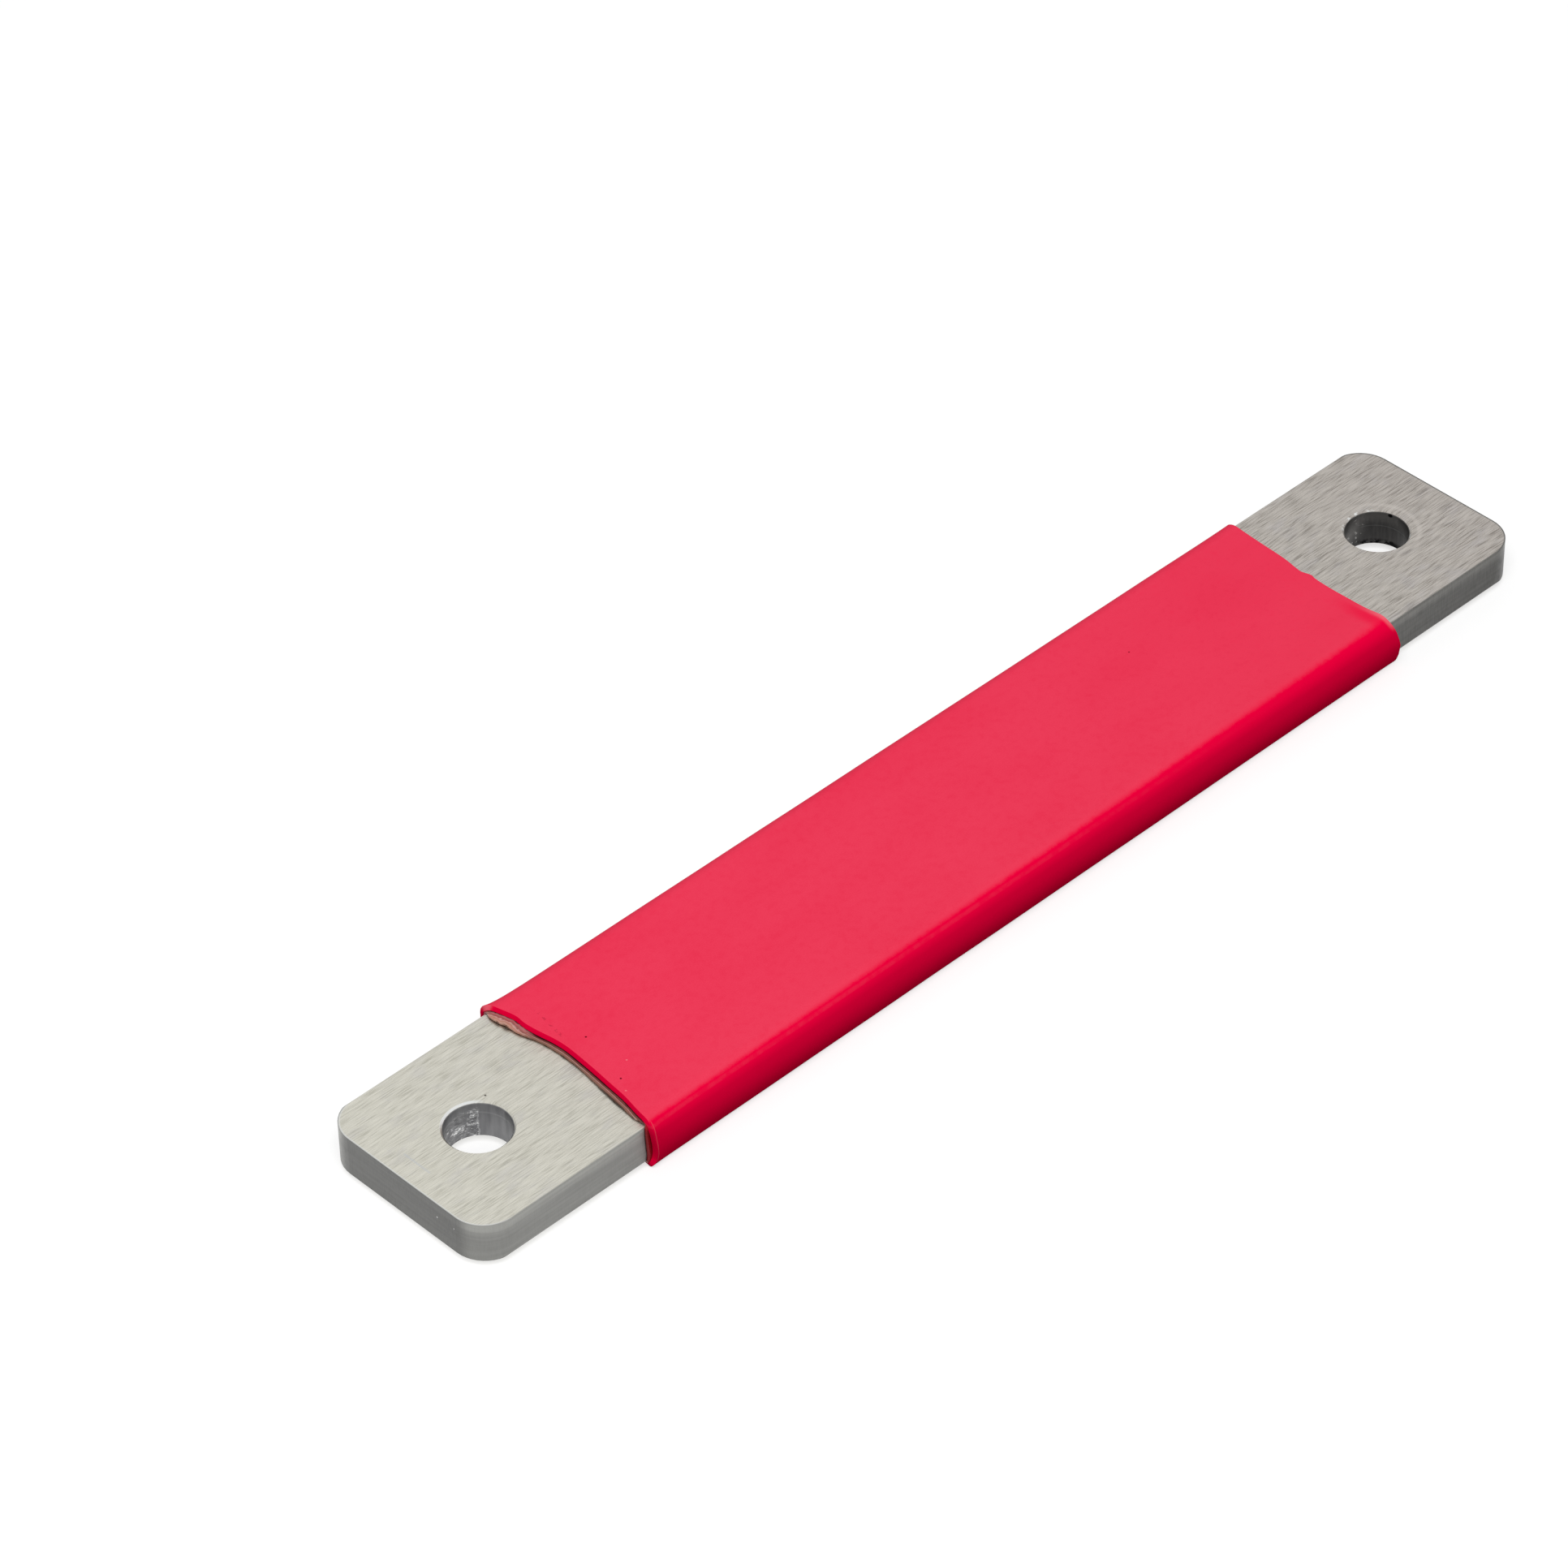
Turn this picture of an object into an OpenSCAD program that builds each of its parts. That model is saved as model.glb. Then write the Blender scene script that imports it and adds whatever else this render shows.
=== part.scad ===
// Insulated bus bar: a flat aluminium bar with a bolt hole at each end, in a red
// heat-shrunk sleeve that is lined with hot-melt adhesive.
// X runs along the bar, Y across it and Z up. The origin is on the ground, under the
// middle of the bar, which lies on the flat underside of its sleeve.
// The near end is the one towards -X. All lengths are in millimetres.

/* [Bar] */
// Length of the bar
bar_length = 195; // [120:1:400]
// Width of the bar
bar_width = 30; // [24:1:60]
// Thickness of the bar
bar_thickness = 6; // [4:0.5:12]
// Radius of its four corners, seen from above
corner_radius = 5; // [2:0.5:8]
// Radius that the rolled stock has along its long edges
edge_radius = 0.4; // [0.2:0.1:1]

/* [Bolt holes] */
// Diameter of the bolt holes, with clearance round an 8 mm bolt
hole_diameter = 9; // [5:0.5:12]
// Distance from each end of the bar to the centre of its hole
hole_inset = 13; // [9:0.5:18]
// Chamfer round both mouths of each hole, where the burr was taken off
hole_chamfer = 0.3; // [0.1:0.1:0.6]

/* [Sleeve] */
// Wall of the sleeve once it has shrunk
sleeve_wall = 0.7; // [0.4:0.1:1.5]
// Outer radius along the sleeve's long edges
sleeve_edge_radius = 1.8; // [1:0.1:2.5]
// Bare metal past the near end of the sleeve, along the bar's sides
near_bare = 28; // [24:0.5:50]
// Bare metal past the far end of the sleeve, along the bar's middle
far_bare = 27.6; // [24:0.1:50]
// How much deeper the near cut runs into the sleeve at the middle of the bar
near_cut_dip = 1.8; // [0:0.1:4]
// How much deeper the near cut runs in along the sides, half-way up them
near_side_dip = 0.9; // [0:0.1:2]
// How far the far cut is out of square, from one side of the bar to the other
far_cut_slant = 1; // [0:0.1:3]
// How far the far cut bulges out along the sides, half-way up them
far_side_bulge = 1.2; // [0:0.1:2]
// Length over which each end of the sleeve flares
lip_length = 3; // [1:0.5:6]
// How far the sleeve's mouths stand off by their flare
lip_flare = 0.4; // [0.1:0.1:0.8]

/* [Adhesive lining] */
// Thickness of the adhesive between the bar and the sleeve
lining_thickness = 0.3; // [0.2:0.1:0.8]
// How far the adhesive was squeezed out past the near end of the sleeve
lining_bead = 0.7; // [0.2:0.1:1.5]
// How far the adhesive stops short of the far end of the sleeve
lining_setback = 0.4; // [0.2:0.1:1.5]

/* [Hidden] */
$fn = 64;

// Straight pieces that draw each curved cut
cut_steps = 40;
// Cutters reach this far past what they cut
overshoot = 1;

lining_width = bar_width + 2 * lining_thickness;
lining_height = bar_thickness + 2 * lining_thickness;
lining_edge_radius = edge_radius + lining_thickness;
sleeve_width = lining_width + 2 * sleeve_wall;
sleeve_height = lining_height + 2 * sleeve_wall;
mouth_width = sleeve_width + 2 * lip_flare;
mouth_height = sleeve_height + 2 * lip_flare;
middle_z = sleeve_height / 2;

near_cut_corner = near_bare - bar_length / 2;
far_cut_middle = bar_length / 2 - far_bare;
far_cut_corner = far_cut_middle + far_cut_slant / 2;
near_lip_start = near_cut_corner + lip_length;
far_lip_start = far_cut_middle - lip_length;
far_lip_tail = far_cut_slant + far_side_bulge + overshoot;

// 1 in the middle of a width, falling along a wave to 0 at both of its edges
function swell(place, width) = (1 + cos(360 * place / width)) / 2;

// 0 over the flat of the sleeve, rising to 1 on its rounded edges
function edge_rise(y) =
    let (share = (abs(y) - sleeve_width / 2 + sleeve_edge_radius) / sleeve_edge_radius)
        pow(max(0, min(1, share)), 2);

// Where the cuts cross the broad faces, at a distance y from the middle
function near_face_x(y) = near_cut_corner + near_cut_dip * swell(y, mouth_width);
function far_face_x(y) =
    far_cut_middle + far_cut_slant * y / mouth_width + (far_cut_slant + far_side_bulge) * edge_rise(y);

// Where the cuts cross the sides, at a height z from the middle
function near_side_x(z) = near_cut_corner + near_side_dip * swell(z, mouth_height);
function far_side_x(z) = far_cut_corner + far_side_bulge * swell(z, mouth_height);

// Even steps from one end of a span about zero to the other
function steps(span) = [for (step = [0:cut_steps]) span * (step / cut_steps - 0.5)];
function steps_back(span) = [for (step = [0:cut_steps]) span * (0.5 - step / cut_steps)];

// A rectangle with round corners, about its middle
module rounded_rectangle(width, height, radius) {
    square([width - 2 * radius, height], center = true);
    square([width, height - 2 * radius], center = true);
    for (side = [-1, 1], level = [-1, 1])
        translate([side * (width / 2 - radius), level * (height / 2 - radius)])
            circle(radius);
}

// A bar of rounded section from one x to another
module rounded_prism(from_x, to_x, width, height, radius) {
    translate([from_x, 0, 0])
        rotate([90, 0, 90])
            linear_extrude(to_x - from_x)
                rounded_rectangle(width, height, radius);
}

// The same section, growing all round by lip_flare as it runs lip_length along X
module flared_prism(width, height, radius) {
    for (side = [-1, 1], level = [-1, 1])
        translate([0, side * (width / 2 - radius), level * (height / 2 - radius)])
            rotate([0, 90, 0])
                cylinder(h = lip_length, r1 = radius, r2 = radius + lip_flare);
    rotate([90, 0, 0])
        linear_extrude(width - 2 * radius, center = true)
            flare_profile(height / 2);
    linear_extrude(height - 2 * radius, center = true)
        flare_profile(width / 2);
}

module flare_profile(half) {
    polygon([
        [0, -half], [0, half],
        [lip_length, half + lip_flare], [lip_length, -half - lip_flare]
    ]);
}

// A straight tube's solid with both of its ends flared
module flared_both_ends(width, height, radius) {
    rounded_prism(near_lip_start, far_lip_start, width, height, radius);
    translate([far_lip_start, 0, 0]) {
        flared_prism(width, height, radius);
        translate([lip_length, 0, 0])
            rounded_prism(0, far_lip_tail, width + 2 * lip_flare, height + 2 * lip_flare,
                radius + lip_flare);
    }
    translate([near_lip_start, 0, 0])
        mirror([1, 0, 0])
            flared_prism(width, height, radius);
}

// What lies between the two cuts, moved out at either end by the lengths given. One
// outline, seen from above, shapes the cuts on the broad faces, and one from the side
// shapes them on the sides.
module between_cuts(past_near, past_far) {
    across = mouth_width;
    tall = mouth_height;
    intersection() {
        linear_extrude(tall + 2 * overshoot, center = true)
            polygon(concat(
                [for (y = steps(across)) [near_face_x(y) - past_near, y]],
                [for (y = steps_back(across)) [far_face_x(y) + past_far, y]]
            ));
        rotate([90, 0, 0])
            linear_extrude(across + 2 * overshoot, center = true)
                polygon(concat(
                    [for (z = steps(tall)) [near_side_x(z) - past_near, z]],
                    [for (z = steps_back(tall)) [far_side_x(z) + past_far, z]]
                ));
    }
}

// Everything under the ground, which keeps the sleeve's underside flat at its mouths
module below_ground() {
    translate([-bar_length / 2, -mouth_width, -middle_z - mouth_width])
        cube([bar_length, 2 * mouth_width, mouth_width]);
}

module bolt_hole() {
    radius = hole_diameter / 2;
    cylinder(h = bar_thickness + 2 * overshoot, r = radius, center = true);
    for (face = [0, 1])
        mirror([0, 0, face])
            translate([0, 0, bar_thickness / 2 - hole_chamfer])
                cylinder(h = 2 * hole_chamfer, r1 = radius, r2 = radius + 2 * hole_chamfer);
}

module bar() {
    color([0.78, 0.78, 0.75])
        translate([0, 0, middle_z])
            difference() {
                intersection() {
                    rounded_prism(-bar_length / 2, bar_length / 2, bar_width, bar_thickness, edge_radius);
                    linear_extrude(bar_thickness + 2 * overshoot, center = true)
                        rounded_rectangle(bar_length, bar_width, corner_radius);
                }
                for (end = [-1, 1])
                    translate([end * (bar_length / 2 - hole_inset), 0, 0])
                        bolt_hole();
            }
}

module sleeve() {
    color([0.92, 0.22, 0.32])
        translate([0, 0, middle_z])
            difference() {
                intersection() {
                    flared_both_ends(sleeve_width, sleeve_height, sleeve_edge_radius);
                    between_cuts(0, 0);
                }
                flared_both_ends(lining_width, lining_height, lining_edge_radius);
                below_ground();
            }
}

module adhesive_lining() {
    color([0.72, 0.52, 0.42])
        translate([0, 0, middle_z])
            difference() {
                intersection() {
                    rounded_prism(-bar_length / 2, bar_length / 2, lining_width, lining_height,
                        lining_edge_radius);
                    between_cuts(lining_bead, -lining_setback);
                }
                rounded_prism(-bar_length / 2 - overshoot, bar_length / 2 + overshoot, bar_width,
                    bar_thickness, edge_radius);
            }
}

bar();
sleeve();
adhesive_lining();
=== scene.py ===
# %% [markdown]
# An insulated bus bar: a flat aluminium bar that links two terminals, in a red sleeve.
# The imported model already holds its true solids, in metres, lying on the ground.
# This lesson dresses them: it photographs the bar as a product, gives the metal its rolling
# lines, and models again the two soft pieces, the sleeve and the adhesive inside it.

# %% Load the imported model
import math

import bpy
from mathutils import Matrix, Vector, noise


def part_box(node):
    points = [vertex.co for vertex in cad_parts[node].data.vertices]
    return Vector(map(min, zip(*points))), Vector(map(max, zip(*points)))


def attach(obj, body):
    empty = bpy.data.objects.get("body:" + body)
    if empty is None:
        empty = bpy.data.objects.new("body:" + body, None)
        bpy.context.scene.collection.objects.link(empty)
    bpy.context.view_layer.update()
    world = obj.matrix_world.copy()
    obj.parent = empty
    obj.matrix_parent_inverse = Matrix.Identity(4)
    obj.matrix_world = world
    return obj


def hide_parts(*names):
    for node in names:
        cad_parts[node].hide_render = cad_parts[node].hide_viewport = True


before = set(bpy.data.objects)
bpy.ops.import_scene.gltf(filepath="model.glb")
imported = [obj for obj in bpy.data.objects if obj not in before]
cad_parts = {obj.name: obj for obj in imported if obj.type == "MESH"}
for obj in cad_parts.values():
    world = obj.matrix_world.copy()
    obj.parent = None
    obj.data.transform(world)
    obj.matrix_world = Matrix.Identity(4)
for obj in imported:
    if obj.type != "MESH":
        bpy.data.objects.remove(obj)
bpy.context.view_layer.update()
MM = 0.001
bar_low, bar_high = (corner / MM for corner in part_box("bar"))
middle_z = (bar_low.z + bar_high.z) / 2
print("bar, in mm:", tuple(round(size, 2) for size in bar_high - bar_low))

# %% [markdown]
# The camera comes first, because every later look is judged through it. The photograph was
# taken with a long lens from high on the near left, so the bar's long edges hardly converge.
# A camera can be turned by three angles, but it is easier to read as a place, a point that
# it looks at and a small roll, so the rotation is worked out from those.

# %% Camera
CAMERA_PLACE = Vector((-456.41, -446.71, 557.30)) * MM
CAMERA_AIM = Vector((-8.95, 22.50, 4.00)) * MM
CAMERA_ROLL = math.radians(-1.153)
CAMERA_LENS = 146.44

camera_data = bpy.data.cameras.new("product_camera")
camera_data.lens = CAMERA_LENS
camera_data.sensor_width = 36
camera_data.clip_start = 0.01
camera_data.clip_end = 20
camera = bpy.data.objects.new("product_camera", camera_data)
bpy.context.scene.collection.objects.link(camera)
turn = (CAMERA_AIM - CAMERA_PLACE).to_track_quat("-Z", "Y").to_matrix().to_4x4()
camera.matrix_world = Matrix.Translation(CAMERA_PLACE) @ turn @ Matrix.Rotation(CAMERA_ROLL, 4, "Z")
bpy.context.scene.camera = camera
bpy.context.scene.view_settings.view_transform = "Standard"
print("camera is", round((CAMERA_AIM - CAMERA_PLACE).length, 3), "m from its subject")

# %% [markdown]
# Materials are written as sums. Each shader node has sockets, and a sum such as
# streaks * 0.5 + 0.2 is a chain of Math nodes. Wiring them by hand hides the idea, so a
# small class wraps an output socket and turns Python's operators into Math nodes.
# Colours can't go through a Math node, which would turn them grey, so they use Mix.

# %% A shader written as sums
# A Mix node has its sockets once for each kind of value. These are the ones for colours.
MIX_FIRST, MIX_SECOND, MIX_RESULT = 6, 7, 2


class Recipe:
    """The nodes of one material, or of the world."""

    def __init__(self, owner):
        self.owner = owner
        owner.use_nodes = True
        self.tree = owner.node_tree
        self.tree.nodes.clear()

    def add(self, kind, settings=None, inputs=None, output=0):
        """Adds a node, sets its settings first, then its sockets, and gives one output."""
        node = self.tree.nodes.new("ShaderNode" + kind)
        for name, value in (settings or {}).items():
            setattr(node, name, value)
        for name, value in (inputs or {}).items():
            if isinstance(value, Wire):
                self.tree.links.new(value.socket, node.inputs[name])
            else:
                node.inputs[name].default_value = value
        return Wire(self, node.outputs[output])

    def ramp(self, value, stops):
        """A colour for each height of a value; stops are (position, colour)."""
        wire = self.add("ValToRGB", inputs={"Fac": value})
        points = wire.socket.node.color_ramp.elements
        while len(points) < len(stops):
            points.new(1)
        for point, (position, colour) in zip(points, stops):
            point.position = position
            point.color = (*colour, 1)
        return wire

    def blend(self, share, first, second):
        """The first colour where share is 0 and the second where it is 1."""
        colours = {"Factor": share, MIX_FIRST: rgba(first), MIX_SECOND: rgba(second)}
        settings = {"data_type": "RGBA", "clamp_factor": True}
        return self.add("Mix", settings, colours, output=MIX_RESULT)

    def finish(self, shader, kind="Material"):
        """Sends a shader to the output, and gives the material or world back."""
        output = self.tree.nodes.new("ShaderNodeOutput" + kind)
        self.tree.links.new(shader.socket, output.inputs["Surface"])
        return self.owner


class Wire:
    """An output socket that can be used in sums like a number."""

    def __init__(self, recipe, socket):
        self.recipe = recipe
        self.socket = socket

    def math(self, operation, *others):
        inputs = dict(enumerate((self, *others)))
        return self.recipe.add("Math", {"operation": operation}, inputs)

    def __add__(self, other):
        return self.math("ADD", other)

    def __sub__(self, other):
        return self.math("SUBTRACT", other)

    def __rsub__(self, other):
        return self.recipe.add("Math", {"operation": "SUBTRACT"}, {0: other, 1: self})

    def __mul__(self, other):
        return self.math("MULTIPLY", other)

    __radd__ = __add__
    __rmul__ = __mul__

    def above(self, low, high):
        """0 below low, 1 above high, and a smooth step between them."""
        inputs = {"Value": self, "From Min": low, "From Max": high}
        return self.recipe.add("MapRange", {"interpolation_type": "SMOOTHSTEP"}, inputs)

    def split(self):
        return [self.recipe.add("SeparateXYZ", inputs={0: self}, output=axis) for axis in range(3)]


def rgba(colour):
    """A colour as a socket wants it, with an alpha, unless it is a wire already."""
    return colour if isinstance(colour, Wire) else (*colour, 1)


def from_screen(red, green, blue):
    """A colour read off a screen, 0 to 255, as the linear light that shaders use."""
    def linear(value):
        share = value / 255
        return share / 12.92 if share <= 0.04045 else ((share + 0.055) / 1.055) ** 2.4
    return tuple(linear(value) for value in (red, green, blue))


def grey(level):
    return from_screen(level, level, level)


print("aluminium on screen 205, 205, 193 is", [round(c, 3) for c in from_screen(205, 205, 193)])

# %% [markdown]
# Every pattern here lies on the part itself, so it reads Object coordinates, which stay put
# when the camera or the part moves. They come in metres, and this part's detail is a tenth
# of a millimetre, so they are scaled to millimetres once and split into x, y and z.
# A pattern that follows a curved edge can't be written in x, y and z. Its distance from that
# edge is measured at each vertex instead, stored in the mesh, and read back by the shader.

# %% Places and patterns on the part
def part_millimetres(recipe):
    place = recipe.add("TexCoord", output="Object")
    scale = {0: place, "Scale": 1 / MM}
    return recipe.add("VectorMath", {"operation": "SCALE"}, scale).split()


def point(recipe, x, y, z):
    return recipe.add("CombineXYZ", inputs={0: x, 1: y, 2: z})


def grain(recipe, place, scale, detail=2.0, roughness=0.5):
    """Cloudy noise round 0.5."""
    inputs = {"Vector": place, "Scale": scale, "Detail": detail, "Roughness": roughness}
    return recipe.add("TexNoise", {"normalize": True}, inputs)


def remember(piece, name, measure):
    """Stores a number at each vertex, measured at its place in millimetres."""
    values = piece.data.attributes.new(name, "FLOAT", "POINT").data
    for value, vertex in zip(values, piece.data.vertices):
        value.value = measure(*(vertex.co / MM))


def recall(recipe, name):
    return recipe.add("Attribute", {"attribute_name": name}, output="Fac")


def from_axis(x, y, centre_x):
    """Distance from the axis of a bolt hole."""
    across = x - centre_x
    return (across * across + y * y).math("SQRT")


def spots(x, y, places):
    """1 within any of some small round spots. Each is a place on two axes and a radius."""
    found = None
    for spot_x, spot_y, radius in places:
        off_x, off_y = x - spot_x, y - spot_y
        off = (off_x * off_x + off_y * off_y).math("SQRT")
        inside = 1 - off.above(radius * 0.5, radius)
        found = found.math("MAXIMUM", inside) if found else inside
    return found


print("patterns are drawn at", round(1 / MM), "units to the metre")

# %% [markdown]
# The metal is rolled aluminium, as it comes from the stock rack. Rolling leaves thousands of
# short fine lines along the bar on its broad faces. A noise stretched along X makes them, a
# broader one gathers them in patches, and a round one adds speckle. A faint stain, a pit and
# a scratch are what handled stock has. The faces are painted darker towards the bar's far
# end: painted shade, as the light falls off along the bar.

# %% Aluminium: the broad faces
BAR_HALF_LENGTH = bar_high.x
BAR_HALF_WIDTH = bar_high.y
# Painted shade: the near tones are lighter and the far tones darker, as the light falls off along
# the bar.
LIT_NEAR_FACE = from_screen(218, 216, 205)
LIT_NEAR_LINES = from_screen(184, 182, 170)
SHADED_FAR_FACE = from_screen(192, 186, 180)
SHADED_FAR_LINES = from_screen(131, 125, 119)
STAIN = from_screen(176, 174, 180)
PIT = from_screen(96, 90, 84)
PIT_SPOTS = [(-80.0, 3.6, 0.2)]
SCRATCH = from_screen(184, 190, 200)
SCRATCH_X, SCRATCH_Y = -94.3, 0.5


def rolling_lines(recipe, x, y, z):
    """How much of a rolling line each point is."""
    fine = grain(recipe, point(recipe, x * 0.34, y * 5.8, z), 1.0, detail=1.0)
    broad = grain(recipe, point(recipe, x * 0.10, y * 0.9, z), 1.0, detail=3.0)
    soft = (fine + broad * 0.3 - 0.15).above(0.25, 0.80)
    crisp = (fine + broad * 0.5 - 0.25).above(0.56, 0.70)
    speckle = grain(recipe, point(recipe, x, y, z), 6.0, detail=1.0).above(0.3, 0.7)
    return soft * 0.62 + crisp * 0.20 + speckle * 0.20


def rolled_face(recipe, x, y, z, lines, towards_far):
    # Painted shade: blends the lighter near tones into the darker far ones along the bar.
    lit_near_face = recipe.blend(lines, LIT_NEAR_FACE, LIT_NEAR_LINES)
    shaded_far_face = recipe.blend(lines, SHADED_FAR_FACE, SHADED_FAR_LINES)
    colour = recipe.blend(towards_far, lit_near_face, shaded_far_face)
    stain = grain(recipe, point(recipe, x * 0.5, y, z), 0.5, detail=3.0).above(0.50, 0.75)
    colour = recipe.blend(stain * 0.22, colour, STAIN)
    colour = recipe.blend(spots(x, y, PIT_SPOTS), colour, PIT)
    across = 1 - (x - SCRATCH_X).math("ABSOLUTE").above(0.08, 0.2)
    along = 1 - (y - SCRATCH_Y).math("ABSOLUTE").above(2.1, 2.7)
    return recipe.blend(across * along * 0.35, colour, SCRATCH)


print("rolled faces: 2 tones at each end, 1 scratch and", len(PIT_SPOTS), "pit")

# %% [markdown]
# The long sides are smoother than the faces. Their colour is painted light and shade: darker
# than the faces, darker towards the far end, and lighter towards their top edge. The sawn ends
# are painted darker still, and the tone changes where the side starts to turn round a plan
# corner. A small angle on a circle is the root of twice its rise over its radius, so the angle
# comes from X alone. Two noises score the metal, one upright and one in bands.

# %% Aluminium: the sides and the sawn ends
BAR_CORNER_RADIUS = 5.0
# Painted shade: the sides and sawn ends are darker than the faces and darker towards the far end;
# the upper band is painted lighter.
SHADED_NEAR_SIDE = from_screen(141, 141, 138)
SHADED_NEAR_SIDE_TOP = from_screen(158, 158, 154)
SHADED_FAR_SIDE = from_screen(88, 87, 85)
SHADED_FAR_SIDE_TOP = from_screen(112, 111, 108)
SHADED_SAWN_END = from_screen(114, 114, 112)
NICK = from_screen(200, 200, 198)
END_NICKS = [(-6.6, 4.8, 0.15), (-9.7, 4.9, 0.11)]


def inside_outline(x, y):
    """Distance to the bar's outline seen from above: negative inside it, 0 on it."""
    past_x = x.math("ABSOLUTE") - (BAR_HALF_LENGTH - BAR_CORNER_RADIUS)
    past_y = y.math("ABSOLUTE") - (BAR_HALF_WIDTH - BAR_CORNER_RADIUS)
    round_x = past_x.math("MAXIMUM", 0)
    round_y = past_y.math("MAXIMUM", 0)
    outside = (round_x * round_x + round_y * round_y).math("SQRT")
    return outside + past_x.math("MAXIMUM", past_y).math("MINIMUM", 0) - BAR_CORNER_RADIUS


def sawn_side(recipe, x, y, z, towards_far):
    # Painted light and shade: a lighter upper band, near and far copies, and darker sawn ends.
    upper = z.above(4.9, 6.5)
    shaded_near_side = recipe.blend(upper, SHADED_NEAR_SIDE, SHADED_NEAR_SIDE_TOP)
    shaded_far_side = recipe.blend(upper, SHADED_FAR_SIDE, SHADED_FAR_SIDE_TOP)
    side = recipe.blend(towards_far, shaded_near_side, shaded_far_side)
    turned = ((BAR_HALF_LENGTH - x.math("ABSOLUTE")) * (2 / BAR_CORNER_RADIUS)).math("SQRT")
    on_end = 1 - turned.above(0.0, 0.5)
    side = recipe.blend(on_end, side, SHADED_SAWN_END)
    scored = grain(recipe, point(recipe, x * 4.0, y * 4.0, z * 0.45), 1.0, detail=2.0)
    band = grain(recipe, point(recipe, x * 0.06, y * 0.06, z * 2.2), 1.0, detail=3.0)
    upright = scored.above(0.35, 0.70) * (towards_far * 0.14 + 0.03)
    side = recipe.blend(upright + band.above(0.35, 0.7) * 0.13, side, (0, 0, 0))
    return recipe.blend(spots(y, z, END_NICKS) * on_end * (1 - towards_far), side, NICK)


print("plan corners of", BAR_CORNER_RADIUS, "mm, and", len(END_NICKS), "nicks in the near end")

# %% [markdown]
# Drilling leaves grey walls in the holes. In the near one the drill dug in, and tore half of
# the wall into bright folds and flecks, and a painted sheen runs across it. The far one is
# streaked down, with dark nicks at its lower mouth, and is painted darker, as painted shade,
# with painted light on its left side. Both are drawn by two measures: the height, and how far
# a point of the wall lies from the hole's axis along one slanting line across the bar. Parts
# of both rims carry painted highlights.

# %% Aluminium: the drilled holes
HOLE_INSET = 13.0
HOLE_RADIUS = 4.5
NEAR_HOLE_X = HOLE_INSET - BAR_HALF_LENGTH
FAR_HOLE_X = BAR_HALF_LENGTH - HOLE_INSET
ACROSS_X, ACROSS_Y = 0.72, -0.69
BRIGHT_EDGE = from_screen(228, 230, 229)
FAR_BURRS = [(2.2, 6.5, 0.4), (2.6, 1.7, 0.5)]


def near_hole_wall(recipe, across, z):
    """Grey with a painted soft sheen, and torn into bright flecks where the drill dug in."""
    # Painted sheen: a lighter and darker wash across the wall.
    painted_wall_sheen = grain(recipe, point(recipe, across * 1.1, 0.0, z * 0.15), 1.0, detail=3.0)
    wall = recipe.blend(
        painted_wall_sheen.above(0.2, 0.8), from_screen(110, 110, 112), from_screen(136, 136, 137))
    ring = z.above(5.1, 5.25) - z.above(5.3, 5.5)
    wall = recipe.blend(ring * 0.35, wall, grey(160))

    edge = grain(recipe, point(recipe, 3.0, 1.0, z * 0.8), 1.0)
    border = across + edge * 1.2
    torn = (1 - border.above(0.25, 0.45)) * (1 - (z - across * 0.25).above(5.2, 6.6))
    clumps = grain(recipe, point(recipe, across * 0.7, 4.0, z * 0.8), 1.0, detail=2.0)
    pits = grain(
        recipe, point(recipe, across * 1.1, 5.0, z * 1.8), 1.0, detail=4.0, roughness=0.7)
    wall = recipe.blend(torn * pits.above(0.42, 0.66) * 0.55, wall, grey(70))
    folds = grain(
        recipe, point(recipe, across * 0.9, 9.0, z * 2.6), 1.0, detail=4.0, roughness=0.75)
    folds = (folds + clumps * 0.5 - 0.25).above(0.46, 0.66)
    wall = recipe.blend(torn * folds * 0.45, wall, grey(186))
    flecks = grain(
        recipe, point(recipe, across * 2.2, 2.0, z * 3.4), 1.0, detail=4.0, roughness=0.75)
    flecks = (flecks + clumps * 0.6 - 0.3).above(0.54, 0.65)
    wall = recipe.blend(torn * flecks, wall, grey(232))

    lip = border.above(0.2, 0.32) * (1 - border.above(0.4, 0.52)) * (1 - z.above(5.0, 6.4))
    return recipe.blend(lip * 0.35, wall, grey(196))


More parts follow.
